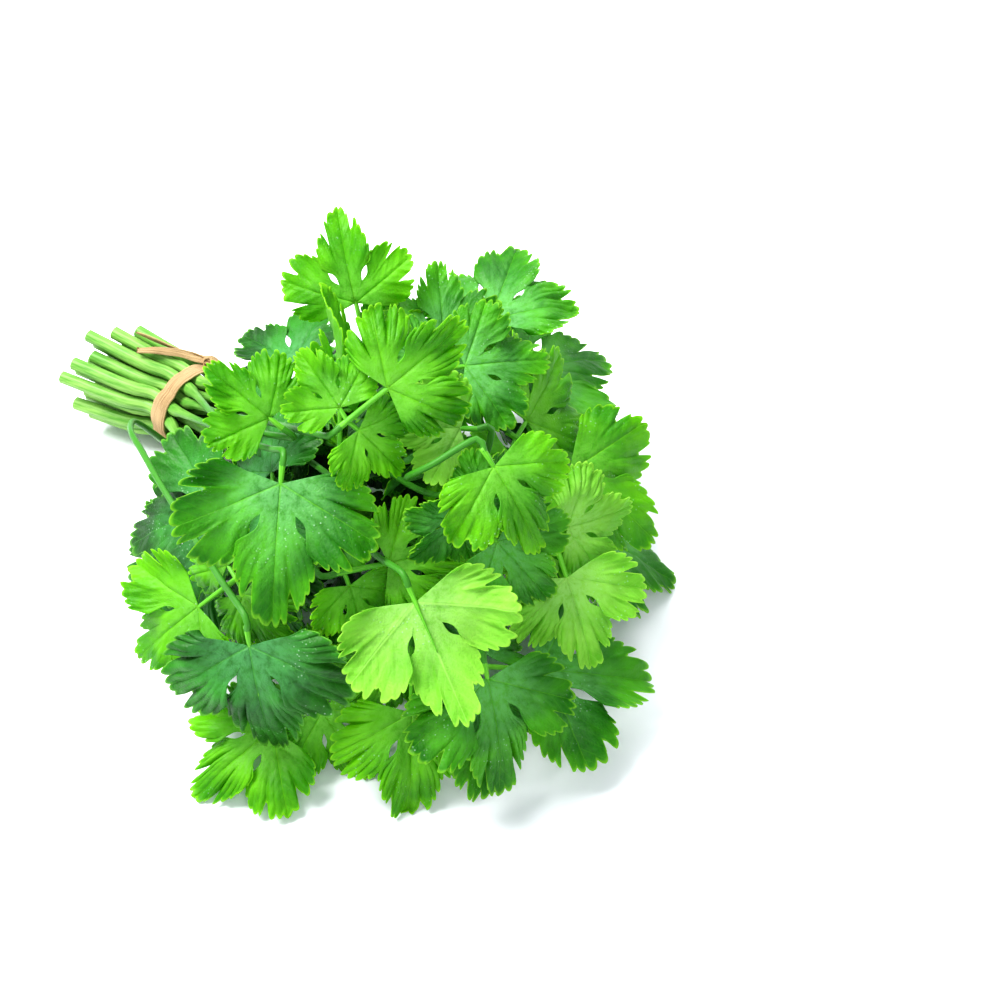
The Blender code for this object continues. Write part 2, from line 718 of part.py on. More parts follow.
def main():
    clear_scene()
    materials = {name: make_material(name, *look) for name, look in LOOKS.items()}
    bunch = Bunch(SPRIGS)
    bunch.settle()
    places = [p for points, _ in bunch.solids() for p in points]
    low = [min(p[k] for p in places) for k in range(3)]
    high = [max(p[k] for p in places) for k in range(3)]
    shift = -Vector(((low[0] + high[0]) / 2, (low[1] + high[1]) / 2, low[2]))
    for i, sprig in enumerate(SPRIGS):
        points, faces = posed_surface(sprig, bunch.pose(i))
        points = [p + shift for p in points]
        make_sheet(f"leaf_{i + 1:02d}", points, faces, BLADE_THICKNESS, 0, materials[sprig["tone"]])
        line, radii = rod(bunch.lines[i], bunch.held[i], 0)
        line = [p + shift for p in line]
        make_rod(f"stem_{i + 1:02d}", line, radii, materials["stem_green"])
    make_tie("raffia_tie", materials["raffia"], shift)


main()
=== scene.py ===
import math

import bpy
import numpy as np
from mathutils import Matrix, Vector, kdtree
from mathutils.bvhtree import BVHTree


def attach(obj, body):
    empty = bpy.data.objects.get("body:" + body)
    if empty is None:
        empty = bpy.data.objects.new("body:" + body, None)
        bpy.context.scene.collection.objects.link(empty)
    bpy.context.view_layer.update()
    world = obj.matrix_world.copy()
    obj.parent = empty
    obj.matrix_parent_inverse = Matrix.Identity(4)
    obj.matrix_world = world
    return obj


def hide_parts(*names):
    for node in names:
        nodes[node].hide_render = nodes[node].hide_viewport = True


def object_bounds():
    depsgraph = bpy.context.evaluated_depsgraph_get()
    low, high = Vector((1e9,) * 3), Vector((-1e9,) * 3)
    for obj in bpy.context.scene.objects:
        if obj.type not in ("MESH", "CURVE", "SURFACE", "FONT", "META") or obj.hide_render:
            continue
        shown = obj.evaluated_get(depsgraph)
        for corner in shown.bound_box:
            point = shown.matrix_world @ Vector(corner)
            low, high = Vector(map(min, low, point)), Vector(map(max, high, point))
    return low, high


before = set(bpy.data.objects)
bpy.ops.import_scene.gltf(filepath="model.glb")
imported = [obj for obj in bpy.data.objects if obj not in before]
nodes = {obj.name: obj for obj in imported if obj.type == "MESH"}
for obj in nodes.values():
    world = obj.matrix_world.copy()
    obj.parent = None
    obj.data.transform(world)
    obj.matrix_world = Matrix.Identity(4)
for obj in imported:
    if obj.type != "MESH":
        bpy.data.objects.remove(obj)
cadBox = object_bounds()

mm = 0.001

# where the middle of the tie stands on the surface, in mm
tieAt = np.array([-.40, 76.75, .25])

# each sprig: where its end leaflet starts, its tip, the way its upper face looks,
# and the size of the right and left leaflets beside the end one
sprigs = (
    dict(base=(-40, -104, 82), tip=(-58, -123, 58), face=(-5, -5, 7), right=0, left=0, tone="green"),
    dict(base=(-30, -86, 90), tip=(-38, -72, 104), face=(-5, -4, 7), right=0, left=0, tone="bright"),
    dict(base=(-28, -125, 64), tip=(-8, -137, 66), face=(-4, -5, 7), right=.80, left=0, tone="bright"),
    dict(base=(-30, -140, 64), tip=(-33, -162, 40), face=(5, 5, -6), right=0, left=0, tone="pale"),
    dict(base=(-2, -138, 88), tip=(-4, -158, 72), face=(-3, -4, 8), right=0, left=0, tone="bright"),
    dict(base=(-12, -113, 104), tip=(10, -120, 116), face=(-5, -6, 6), right=.70, left=.70, tone="bright"),
    dict(base=(2, -122, 88), tip=(-14, -110, 92), face=(-4, -5, 7), right=0, left=0, tone="pale"),
    dict(base=(-8, -147, 72), tip=(-2, -163, 54), face=(-3, -6, 6), right=.65, left=.70, tone="green"),
    dict(base=(10, -152, 50), tip=(4, -168, 30), face=(-3, -6, 6), right=.85, left=.85, tone="pale"),
    dict(base=(30, -132, 64), tip=(48, -158, 48), face=(-2, -5, 8), right=.65, left=.85, tone="bright"),
    dict(base=(-4, -158, 26), tip=(25, -176, 12), face=(-2, -3, 9), right=.80, left=.65, tone="green"),
    dict(base=(-36, -146, 24), tip=(-50, -163, 2), face=(-4, -6, 6), right=.80, left=0, tone="bright"),
    dict(base=(-22, -156, 38), tip=(-32, -174, 12), face=(-3, -7, 5), right=0, left=0, tone="green"),
    dict(base=(-62, -112, 52), tip=(-70, -130, 22), face=(-6, -4, 6), right=0, left=0, tone="deep"),
    dict(base=(-62, -90, 44), tip=(-80, -78, 26), face=(-7, -2, 7), right=.80, left=.80, tone="bright"),
    dict(base=(-60, -112, 12), tip=(-86, -106, 2), face=(-2, -2, 9), right=.80, left=.80, tone="bright"),
    dict(base=(-36, -65, 44), tip=(-56, -37, 28), face=(-5, 0, 8), right=.80, left=.80, tone="deep"),
    dict(base=(-42, -62, 28), tip=(-62, -36, 8), face=(-6, -2, 7), right=.80, left=.80, tone="deep"),
    dict(base=(10, -42, 54), tip=(12, -12, 50), face=(-2, 2, 9), right=.80, left=.80, tone="deep"),
    dict(base=(-9, -86, 82), tip=(6, -70, 104), face=(7, -7, 2), right=.65, left=0, tone="bright"),
    dict(base=(16, -74, 92), tip=(21, -64, 115), face=(-6, -6, 4), right=.70, left=0, tone="bright"),
    dict(base=(28, -88, 82), tip=(38, -74, 98), face=(-5, -5, 6), right=.90, left=0, tone="green"),
    dict(base=(50, -98, 62), tip=(88, -100, 52), face=(-1, -3, 9), right=0, left=.80, tone="green"),
    dict(base=(50, -84, 66), tip=(76, -64, 62), face=(0, 0, 9), right=.65, left=0, tone="green"),
    dict(base=(38, -114, 52), tip=(74, -122, 30), face=(0, -4, 8), right=0, left=0, tone="bright"),
    dict(base=(38, -50, 36), tip=(60, -26, 18), face=(5, 2, 8), right=.85, left=0, tone="green"),
    dict(base=(60, -74, 30), tip=(88, -62, 6), face=(5, 2, 8), right=.85, left=0, tone="deep"),
    dict(base=(46, -134, 22), tip=(66, -154, 4), face=(3, -4, 8), right=.85, left=.85, tone="green"),
    dict(base=(24, -108, 84), tip=(46, -118, 80), face=(-2, -3, 9), right=.90, left=.65, tone="green"),
)


def deselectAll():
    for obj in bpy.context.selected_objects:
        obj.select_set(False)


def pick(*objects):
    deselectAll()
    for obj in objects:
        obj.select_set(True)
    bpy.context.view_layer.objects.active = objects[0]


def inEditMode(obj, *steps):
    # each step runs with every face selected
    pick(obj)
    bpy.ops.object.mode_set(mode="EDIT")
    for step in steps:
        bpy.ops.mesh.select_all(action="SELECT")
        step()
    bpy.ops.object.mode_set(mode="OBJECT")


def applyModifier(obj, kind, **settings):
    pick(obj)
    modifier = obj.modifiers.new(kind.title(), kind)
    for key, value in settings.items():
        setattr(modifier, key, value)
    bpy.ops.object.modifier_apply(modifier=modifier.name)


def unit(v):
    v = np.asarray(v, float)
    return v / np.linalg.norm(v, axis=-1, keepdims=True)


def smoothStep(x, low, high):
    t = np.clip((x - low) / (high - low), 0, 1)
    return t * t * (3 - 2 * t)


# a flat grid, bent by a rule that turns its own two coordinates into places in mm and texture places
def bentGrid(name, columns, rows, rule):
    deselectAll()
    bpy.ops.mesh.primitive_grid_add(x_subdivisions=columns, y_subdivisions=rows, size=2)
    grid = bpy.context.object
    grid.name = name
    mesh = grid.data
    flat = np.zeros(len(mesh.vertices) * 3)
    mesh.vertices.foreach_get("co", flat)
    flat = flat.reshape(-1, 3)
    places, maps = rule(flat[:, 0], flat[:, 1])
    mesh.vertices.foreach_set("co", (places * mm).ravel())
    corner = np.zeros(len(mesh.loops), int)
    mesh.loops.foreach_get("vertex_index", corner)
    mesh.uv_layers.remove(mesh.uv_layers[0])
    for mapName, values in maps.items():
        layer = mesh.uv_layers.new(name=mapName)
        layer.uv.foreach_set("vector", values[corner].ravel())
    mesh.update()
    return grid


def joined(name, parts):
    pick(*parts)
    if len(parts) > 1:
        bpy.ops.object.join()
    obj = bpy.context.object
    obj.name = obj.data.name = name
    return obj


# frames: columns are right, forward, up and the place
def frameOf(origin, forward, up):
    forward = unit(forward)
    right = unit(np.cross(forward, up))
    found = np.eye(4)
    found[:3, 0], found[:3, 1], found[:3, 2] = right, forward, np.cross(right, forward)
    found[:3, 3] = origin
    return found


def placed(matrix, points):
    return points @ matrix[:3, :3].T + matrix[:3, 3]


# the way a compound leaf is laid out, beside its own foot
leafLayout = {
    "sideStalklet": .20,
    "sideAngle": 84,
    "sideDroop": 10,
    "sideRoll": 18,
    "forkShare": .50,
    "forkLength": 2.5,
    "fold": .10,
    "arch": .22,
    "cup": .10,
    "rimOfSolid": ((0, 1.0), (23, .93), (32, .42), (41, .84), (60, .92), (80, .78), (102, .50)),
}


def endLength(sprig):
    return np.linalg.norm(np.subtract(sprig["tip"], sprig["base"]))


def forkReach(sprig):
    sides = sprig["right"] or sprig["left"]
    return leafLayout["forkShare"] * endLength(sprig) if sides else leafLayout["forkLength"]


def leafletFrames(sprig):
    length = endLength(sprig)
    found = [(frameOf((0, forkReach(sprig), 0), (0, 1, 0), (0, 0, 1)), length, 0)]
    for side, size in ((1, sprig["right"]), (-1, sprig["left"])):
        if not size:
            continue
        angle = math.radians(side * leafLayout["sideAngle"])
        forward, up = np.array([math.sin(angle), math.cos(angle), 0]), np.array([0, 0, 1.0])
        droop = math.radians(leafLayout["sideDroop"])
        forward, up = (forward * math.cos(droop) - up * math.sin(droop),
                       up * math.cos(droop) + forward * math.sin(droop))
        roll = math.radians(-side * leafLayout["sideRoll"])
        up = up * math.cos(roll) + np.cross(forward, up) * math.sin(roll)
        hinge = (side * leafLayout["sideStalklet"] * size * length, .7, -.5)
        found.append((frameOf(hinge, forward, up), size * length, side))
    return found


def footFrame(sprig):
    base = np.array(sprig["base"], float)
    end = frameOf(base, np.subtract(sprig["tip"], base), sprig["face"])
    end[:3, 3] -= end[:3, 1] * forkReach(sprig)
    end[:3, 3] += tieAt
    return end


# a blade is folded a little along its midrib, arches to its tip and hangs at its sides
def bladeDrop(across, along, length):
    return (leafLayout["arch"] * along * np.abs(along) + leafLayout["cup"] * across ** 2) / length


def bladeRise(across, along, length):
    fold = leafLayout["fold"] * (np.sqrt(across ** 2 + 1.0) - 1.0)
    return fold - bladeDrop(across, along, length)


def solidPoints(sprig):
    found = []
    for matrix, length, side in leafletFrames(sprig):
        for degrees, reach in leafLayout["rimOfSolid"]:
            for share in (.56, 1.0):
                for turned in (-degrees, degrees) if degrees else (0,):
                    angle = math.radians(turned)
                    across, along = (reach * share * length * f(angle) for f in (math.sin, math.cos))
                    rise = leafLayout["fold"] * abs(across) - bladeDrop(across, along, length)
                    found.append(placed(matrix, np.array([across, along, rise])))
    return np.array(found)


# a start is an axis and the degrees turned about it; each step keeps the nearest share of the corners,
# every corner nearer than keptGap, and none that lies on the surface
fit = {
    "starts": ((2, 0), (2, 14), (2, -14), (0, 14), (0, -14), (1, 14), (1, -14)),
    "steps": 40,
    "keptShare": .8,
    "keptGap": .35,
    "offSurface": .7,
    "goodEnough": .4,
}


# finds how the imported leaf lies, by fitting the layout's points to the corners of the solid
def fitPose(node, sprig):
    corners = np.array([v.co for v in node.data.vertices]) / mm
    corners = np.unique(np.round(corners, 2), axis=0)
    layout = solidPoints(sprig)
    first = footFrame(sprig)
    best, bestError = first, 1e9
    for axis, degrees in fit["starts"]:
        start = np.array(Matrix.Rotation(math.radians(degrees), 4, "XYZ"[axis]))
        pose = first @ start
        for _ in range(fit["steps"]):
            now = placed(pose, layout)
            tree = kdtree.KDTree(len(now))
            for k, place in enumerate(now):
                tree.insert(place, k)
            tree.balance()
            nearest = [tree.find(c)[1:] for c in corners]
            gaps = np.array([n[1] for n in nearest])
            near = gaps <= max(np.quantile(gaps, fit["keptShare"]), fit["keptGap"])
            kept = near & (corners[:, 2] > fit["offSurface"])
            source, target = layout[[n[0] for n in nearest]][kept], corners[kept]
            sourceMiddle, targetMiddle = source.mean(0), target.mean(0)
            u, _, vt = np.linalg.svd((source - sourceMiddle).T @ (target - targetMiddle))
            flip = np.diag([1, 1, np.sign(np.linalg.det(vt.T @ u.T))])
            pose = np.eye(4)
            pose[:3, :3] = vt.T @ flip @ u.T
            pose[:3, 3] = targetMiddle - pose[:3, :3] @ sourceMiddle
        error = float(np.sqrt((gaps[kept] ** 2).mean()))
        if error < bestError:
            best, bestError = pose, error
        if bestError < fit["goodEnough"]:
            break
    return best, bestError


poses, errors = [], []
for index, sprig in enumerate(sprigs):
    pose, error = fitPose(nodes[f"leaf_{index + 1:02d}"], sprig)
    poses.append(pose)
    errors.append(error)
print("leaf poses fitted, largest RMS gap of the kept corners", round(max(errors), 3), "mm")


# the outline of a leaflet: three lobes round its foot, angles in degrees and reach as a share of its length;
# narrow draws in its width
leaflet = {
    "lobes": {-1: (-104, -33), 0: (-33, 33), 1: (33, 104)},
    "lobeVeins": {-1: -66, 0: 0, 1: 66},
    "endRim": ((0, 1.0), (7, .97), (13, .91), (19, .83), (26, .74), (33, .63)),
    "sideRim": ((33, .66), (38, .76), (45, .86), (54, .93), (66, .95), (78, .88), (90, .77), (98, .66),
                (104, .52)),
    "slitFrom": .27,
    "slitTo": .45,
    "slitWidth": 5.4,
    "overlap": 5.0,
    "columns": {-1: 104, 0: 104, 1: 104},
    "rows": (0, .35, .7, 1, 1.06, 1.14, 1.22, 1.31, 1.42, 1.53, 1.64, 1.74, 1.83, 1.90, 1.95, 1.98, 2.0),
    "teeth": {-1: 13, 0: 13, 1: 13},
    "toothDepth": .075,
    "cuts": {-1: ((-54, .17), (-79, .22)), 0: ((-12, .17), (12, .17)), 1: ((54, .17), (79, .22))},
    "cutWidth": 3.0,
    "thickness": .30,
    "narrow": .85,
}


def lobeSheet(name, lobe, length, shape):
    low, high = leaflet["lobes"][lobe]
    middle, half = (low + high) / 2, (high - low) / 2
    rows = np.array(leaflet["rows"])
    rim = leaflet["sideRim"] if lobe else leaflet["endRim"]
    rimAngles, rimReaches = np.array(rim).T

    def rule(x, y):
        k = (y + 1) / 2 * (len(rows) - 1)
        share = np.interp(k, np.arange(len(rows)), rows)
        angle = middle + half * x
        reach = np.interp(np.abs(angle), rimAngles, rimReaches) * shape["reach"][lobe]
        # rounded teeth with sharp notches, and two deeper cuts
        phase = leaflet["teeth"][lobe] * (x + 1) / 2 + shape["toothShift"][lobe]
        warped = phase + .12 * np.sin(2.1 * phase + shape["wave"])
        tooth = np.abs(np.sin(np.pi * warped)) ** .5
        depth = leaflet["toothDepth"] * (1 + .35 * np.sin(1.3 * phase + shape["wave"] * 2))
        reach = reach - depth * (1 - tooth)
        for at, cut in leaflet["cuts"][lobe]:
            near = np.abs(angle - at - shape["cutShift"]) / leaflet["cutWidth"]
            reach = reach - cut * shape["cutDepth"] * np.clip(1 - near, 0, 1) ** .8
        slit = leaflet["slitFrom"]
        radius = np.where(share <= 1, share * slit, slit + (share - 1) * (reach - slit))
        # the sides of a slit pull in, close again, overlap, and part towards the rim
        t = (radius - slit) / (leaflet["slitTo"] - slit)
        pull = -leaflet["slitWidth"] * np.sin(np.pi * np.clip(t, 0, 1)) * (share > 1)
        pull = pull + leaflet["overlap"] * smoothStep(t, 1, 1.6) * (share > 1)
        pull = pull - 4.5 * smoothStep(share, 1.65, 2.0)
        outerSide = (lobe > 0) & (x > 0) | (lobe < 0) & (x < 0)
        edge = np.where(outerSide, 0, np.sign(x) * np.abs(x) ** 4)
        turned = np.radians(angle + pull * edge)
        across, along = np.sin(turned) * radius, np.cos(turned) * radius
        # relief in mm: sunken main veins, lobes cupped between them, a lifted edge where lobes overlap, waves
        vein = math.radians(leaflet["lobeVeins"][lobe])
        veinSide = across * math.cos(vein) - along * math.sin(vein)
        veinAlong = across * math.sin(vein) + along * math.cos(vein)
        rise = bladeRise(across * length, along * length, length)
        rise = rise - .35 * np.exp(-(veinSide / .022) ** 2) * smoothStep(radius, .02, .12)
        rise = rise + shape["cup"][lobe] * np.abs(veinSide) * length * smoothStep(radius, .15, .6)
        side = np.where(outerSide, 0, smoothStep(np.abs(x), .6, 1) * smoothStep(share, 1.0, 1.4))
        rise = rise + shape["over"] * (-.45 if lobe else .45) * side
        rise = rise + shape["ripple"] * np.sin(angle / 9 + shape["wave"]) * smoothStep(radius, .35, 1.0)
        smallWave = np.sin(angle / 4.2 + 2 * shape["wave"])
        rise = rise + shape["ripple"] * .5 * smallWave * smoothStep(radius, .6, 1.0)
        rise = rise + .20 * np.sin(veinAlong * 30 - np.abs(veinSide) * 34) * smoothStep(radius, .3, .6)
        crumple = np.sin(13 * across + shape["wave"]) * np.sin(11 * along + 2 * shape["wave"])
        rise = rise + .45 * crumple * smoothStep(radius, .15, .5)
        rise = rise + shape["curl"][lobe] * length * smoothStep(share, 1.2, 2.0) ** 2
        rise = rise + shape["twist"][lobe] * veinSide * length * smoothStep(share, 1.0, 2.0)
        maps = {
            "lobeMap": np.stack([veinSide + .5, veinAlong], 1),
            "rimMap": np.stack([(x + 1) / 2, share / 2], 1),
        }
        return np.stack([across * leaflet["narrow"] * length, along * length, rise], 1), maps

    return bentGrid(name, leaflet["columns"][lobe], len(rows) - 1, rule)


def blade(name, length, shape):
    lobes = [lobeSheet(f"{name}_lobe", lobe, length, shape) for lobe in (-1, 0, 1)]
    sheet = joined(name, lobes)
    inEditMode(sheet, lambda: bpy.ops.mesh.remove_doubles(threshold=.00001))
    return sheet


# a round stalk along a line of places in mm; ribs run along it
def smoothLine(places, step):
    places = np.asarray(places, float)
    padded = np.vstack([2 * places[0] - places[1], places, 2 * places[-1] - places[-2]])
    line = []
    for a, b, c, d in zip(padded, padded[1:], padded[2:], padded[3:]):
        count = max(2, round(np.linalg.norm(c - b) / step))
        for k in range(count):
            t = k / count
            line.append(.5 * (2 * b + (c - a) * t + (2 * a - 5 * b + 4 * c - d) * t * t
                              + (3 * b - a - 3 * c + d) * t ** 3))
    line.append(places[-1])
    return np.array(line)


def carriedSides(line, first):
    along = unit(np.gradient(line, axis=0))
    side, sides = np.asarray(first, float), []
    for way in along:
        side = unit(side - way * side.dot(way))
        sides.append(side)
    sides = np.array(sides)
    return sides, np.cross(along, sides)


def stalk(name, line, radii, around, ribs=0, ribDepth=0, twist=0, first=(1, .2, .1)):
    sides, others = carriedSides(line, first)
    reach = np.concatenate([[0], np.cumsum(np.linalg.norm(np.diff(line, axis=0), axis=1))])

    def rule(x, y):
        k = np.rint((y + 1) / 2 * (len(line) - 1)).astype(int)
        angle = np.pi * (x + 1) + twist * reach[k]
        radius = radii[k] * (1 + ribDepth * np.cos(ribs * angle))
        out = sides[k] * np.cos(angle)[:, None] + others[k] * np.sin(angle)[:, None]
        maps = {
            "lobeMap": np.stack([(x + 1) / 2, reach[k] / 40], 1),
            "rimMap": np.stack([(x + 1) / 2, reach[k] * 0], 1),
        }
        return line[k] + out * radius[:, None], maps

    tube = bentGrid(name, around, len(line) - 1, rule)
    inEditMode(tube, lambda: bpy.ops.mesh.remove_doubles(threshold=.00001),
               lambda: bpy.ops.mesh.fill_holes(sides=0),
               lambda: bpy.ops.mesh.normals_make_consistent(inside=False))
    return tube


# what repeats over several materials
def newGroup(name, inputs, outputs):
    group = bpy.data.node_groups.new(name, "ShaderNodeTree")
    for label, kind, value in inputs:
        socket = group.interface.new_socket(name=label, in_out="INPUT", socket_type=kind)
        if value is not None:
            socket.default_value = value
    for label, kind in outputs:
        group.interface.new_socket(name=label, in_out="OUTPUT", socket_type=kind)
    return group, group.nodes.new("NodeGroupInput"), group.nodes.new("NodeGroupOutput")


def setInputs(node, values):
    for key, value in values.items():
        node.inputs[key].default_value = value
    return node


def addNode(tree, kind, links=(), **settings):
    node = tree.nodes.new(kind)
    for key, value in settings.items():
        setattr(node, key, value)
    for key, value in dict(links).items():
        if isinstance(value, bpy.types.NodeSocket):
            tree.links.new(value, node.inputs[key])
        else:
            node.inputs[key].default_value = value
    return node


def mathNode(tree, operation, first, second=None, third=None):
    links = {0: first}
    if second is not None:
        links[1] = second
    if third is not None:
        links[2] = third
    return addNode(tree, "ShaderNodeMath", links, operation=operation).outputs[0]


def rangeNode(tree, value, low, high, toLow=0.0, toHigh=1.0):
    node = addNode(tree, "ShaderNodeMapRange", {0: value, 1: low, 2: high, 3: toLow, 4: toHigh},
                   interpolation_type="SMOOTHSTEP")
    return node.outputs[0]


def mixNode(tree, share, first, second):
    node = addNode(tree, "ShaderNodeMix", data_type="RGBA")
    for socket, value in ((node.inputs[0], share), (node.inputs[6], first), (node.inputs[7], second)):
        if isinstance(value, bpy.types.NodeSocket):
            tree.links.new(value, socket)
        else:
            socket.default_value = value
    return node.outputs[2]


# veins of a lobe from its flat map: one main vein, and side veins that leave it at a slant
def makeLeafPattern():
    tree, given, out = newGroup("leafPattern", [
        ("Side Veins", "NodeSocketFloat", 9.0), ("Slant", "NodeSocketFloat", 1.25),
        ("Rim Width", "NodeSocketFloat", .03)],
        [("Main Vein", "NodeSocketFloat"), ("Fine Veins", "NodeSocketFloat"), ("Rim", "NodeSocketFloat"),
         ("Patches", "NodeSocketFloat"), ("Dew And Painted Glint", "NodeSocketFloat"), ("Height", "NodeSocketFloat"),
         ("Painted Sheen", "NodeSocketFloat")])
    lobeMap = addNode(tree, "ShaderNodeUVMap", uv_map="lobeMap").outputs[0]
    rimMap = addNode(tree, "ShaderNodeUVMap", uv_map="rimMap").outputs[0]
    lobe = addNode(tree, "ShaderNodeSeparateXYZ", {0: lobeMap})
    wobble = addNode(tree, "ShaderNodeTexNoise", {"Vector": lobeMap, "Scale": 7.0, "Detail": 1.0})
    bent = mathNode(tree, "MULTIPLY_ADD", wobble.outputs[0], .05, -.025)
    side = mathNode(tree, "ABSOLUTE", mathNode(tree, "SUBTRACT", lobe.outputs[0], .5))
    width = rangeNode(tree, lobe.outputs[1], 0.0, 1.0, .011, .003)
    main = mathNode(tree, "SUBTRACT", 1.0, rangeNode(tree, mathNode(tree, "DIVIDE", side, width), .35, 1.3))
    slant = mathNode(tree, "MULTIPLY", side, given.outputs["Slant"])
    slanted = mathNode(tree, "SUBTRACT", lobe.outputs[1], slant)
    slanted = mathNode(tree, "ADD", slanted, bent)
    ruled = mathNode(tree, "MULTIPLY", slanted, given.outputs["Side Veins"])
    across = mathNode(tree, "ABSOLUTE", mathNode(tree, "SUBTRACT", mathNode(tree, "FRACT", ruled), .5))
    sideVein = mathNode(tree, "SUBTRACT", 1.0, rangeNode(tree, across, .015, .075))
    fade = rangeNode(tree, side, .0, .30, 1.0, .25)
    sideVein = mathNode(tree, "MULTIPLY", sideVein, fade)
    sideVein = mathNode(tree, "MULTIPLY", sideVein, rangeNode(tree, lobe.outputs[1], .08, .32))
    net = addNode(tree, "ShaderNodeTexVoronoi", {"Vector": lobeMap, "Scale": 34.0},
                  feature="DISTANCE_TO_EDGE")
    netLine = mathNode(tree, "SUBTRACT", 1.0, rangeNode(tree, net.outputs[0], .0, .12))
    fine = mathNode(tree, "MAXIMUM", sideVein, mathNode(tree, "MULTIPLY", netLine, .30))
    reach = addNode(tree, "ShaderNodeSeparateXYZ", {0: rimMap}).outputs[1]
    rimStart = mathNode(tree, "SUBTRACT", 1.0, given.outputs["Rim Width"])
    rim = addNode(tree, "ShaderNodeMapRange", {0: reach, 1: rimStart, 2: 1.0}).outputs[0]
    objectMap = addNode(tree, "ShaderNodeTexCoord").outputs["Object"]
    patches = addNode(tree, "ShaderNodeTexNoise",
                      {"Vector": objectMap, "Scale": 55.0, "Detail": 3.0, "Roughness": .6})
    speckle = addNode(tree, "ShaderNodeTexVoronoi", {"Vector": objectMap, "Scale": 760.0, "Randomness": 1.0})
    wet = addNode(tree, "ShaderNodeTexNoise", {"Vector": objectMap, "Scale": 70.0, "Detail": 1.0})
    # tiny dew dots in wet patches, smoother and raised like droplets; the leaf tops also paint a pale glint
    # on them
    dots = mathNode(tree, "SUBTRACT", 1.0, rangeNode(tree, speckle.outputs["Distance"], .08, .24))
    dots = mathNode(tree, "MULTIPLY", dots, rangeNode(tree, wet.outputs[0], .53, .70))
    # a painted pale sheen on the middle of the blade, in soft blotches, fading towards the rim
    blotchMap = addNode(tree, "ShaderNodeMapping", {0: lobeMap, 3: (13, 8, 1)}).outputs[0]
    blotches = addNode(tree, "ShaderNodeTexNoise",
                       {"Vector": blotchMap, "Scale": 1.6, "Detail": 4.0, "Roughness": .65})
    fromRim = rangeNode(tree, reach, .95, .35)
    paintedSheen = mathNode(tree, "MULTIPLY", fromRim, rangeNode(tree, blotches.outputs[0], .18, .62))
    # blistered between the veins
    swell = rangeNode(tree, across, .0, .5)
    fromFoot = rangeNode(tree, lobe.outputs[1], .2, .5)
    height = mathNode(tree, "MULTIPLY", mathNode(tree, "MULTIPLY", swell, fromFoot), .4)
    netSwell = mathNode(tree, "MULTIPLY", rangeNode(tree, net.outputs[0], 0.0, .35), .28)
    height = mathNode(tree, "ADD", height, netSwell)
    height = mathNode(tree, "SUBTRACT", height, mathNode(tree, "MULTIPLY", main, .9))
    height = mathNode(tree, "ADD", height, mathNode(tree, "MULTIPLY", dots, .5))
    for label, value in (("Main Vein", main), ("Fine Veins", fine), ("Rim", rim), ("Height", height),
                         ("Patches", patches.outputs[0]), ("Dew And Painted Glint", dots), ("Painted Sheen", paintedSheen)):
        tree.links.new(value, out.inputs[label])
    return tree


leafPattern = makeLeafPattern()

# colours of each leaf tone; each tone's sheen colour is a painted pale sheen for the middle of the blade
leafTones = {
    "bright": dict(dark=(.040, .25, .001), light=(.16, .52, .003), vein=(.22, .60, .02), rim=(.34, .72, .02),
                   paintedSheen=(.24, .61, .08), glow=(.30, .86, .003), roughness=.46, through=.42),
    "green": dict(dark=(.014, .15, .001), light=(.090, .40, .006), vein=(.15, .50, .03), rim=(.30, .68, .03),
                  paintedSheen=(.20, .54, .18), glow=(.19, .76, .004), roughness=.46, through=.36),
    "deep": dict(dark=(.005, .060, .001), light=(.034, .24, .010), vein=(.08, .36, .04), rim=(.18, .54, .04),
                 paintedSheen=(.11, .40, .13), glow=(.09, .52, .005), roughness=.47, through=.26),
    # inner: a near-black green that paints the shade deep inside the bunch
    "inner": dict(dark=(.002, .024, .001), light=(.010, .095, .002), vein=(.02, .15, .01),
                  rim=(.05, .22, .01), paintedSheen=(.02, .14, .015), glow=(.03, .24, .002),
                  roughness=.50, through=.20),
    "pale": dict(dark=(.14, .44, .02), light=(.29, .64, .065), vein=(.44, .78, .16), rim=(.47, .83, .10),
                 paintedSheen=(.44, .76, .22), glow=(.41, .88, .03), roughness=.56, through=.42),
}


